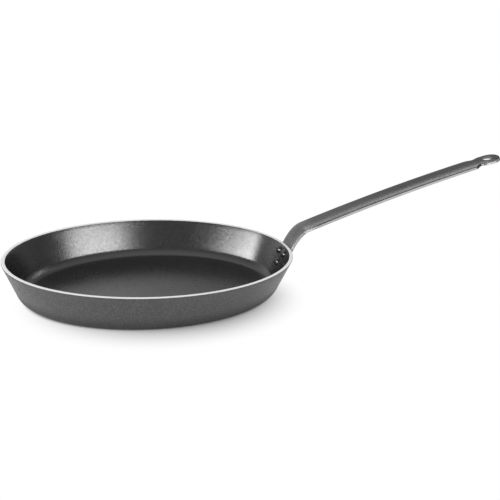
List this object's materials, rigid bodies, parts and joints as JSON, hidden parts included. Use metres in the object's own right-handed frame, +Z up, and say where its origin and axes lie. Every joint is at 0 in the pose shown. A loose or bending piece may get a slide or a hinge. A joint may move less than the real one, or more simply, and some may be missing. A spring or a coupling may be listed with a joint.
{
  "type": "oval frying pan",
  "caption": "Oval frying pan with leaning walls, dark non-stick coat, bare rim edge and a riveted strip-steel handle that ends in a hanging eye.",
  "frame": {"origin": "centre of the flat base, on the surface that the pan stands on", "axes": "+X along the oval's length towards the handle, +Y across the oval, +Z up out of the pan"},
  "size_m": [0.6766, 0.26, 0.1721],
  "materials": {
    "coated_aluminium": "satin",
    "coated_steel": "satin",
    "coated_rivet": "satin"
  },
  "bodies": {
    "root": {"pan_body": "coated_aluminium", "handle": "coated_steel", "rivet_upper_front": "coated_rivet", "rivet_upper_back": "coated_rivet", "rivet_lower": "coated_rivet"}
  },
  "joints": []
}
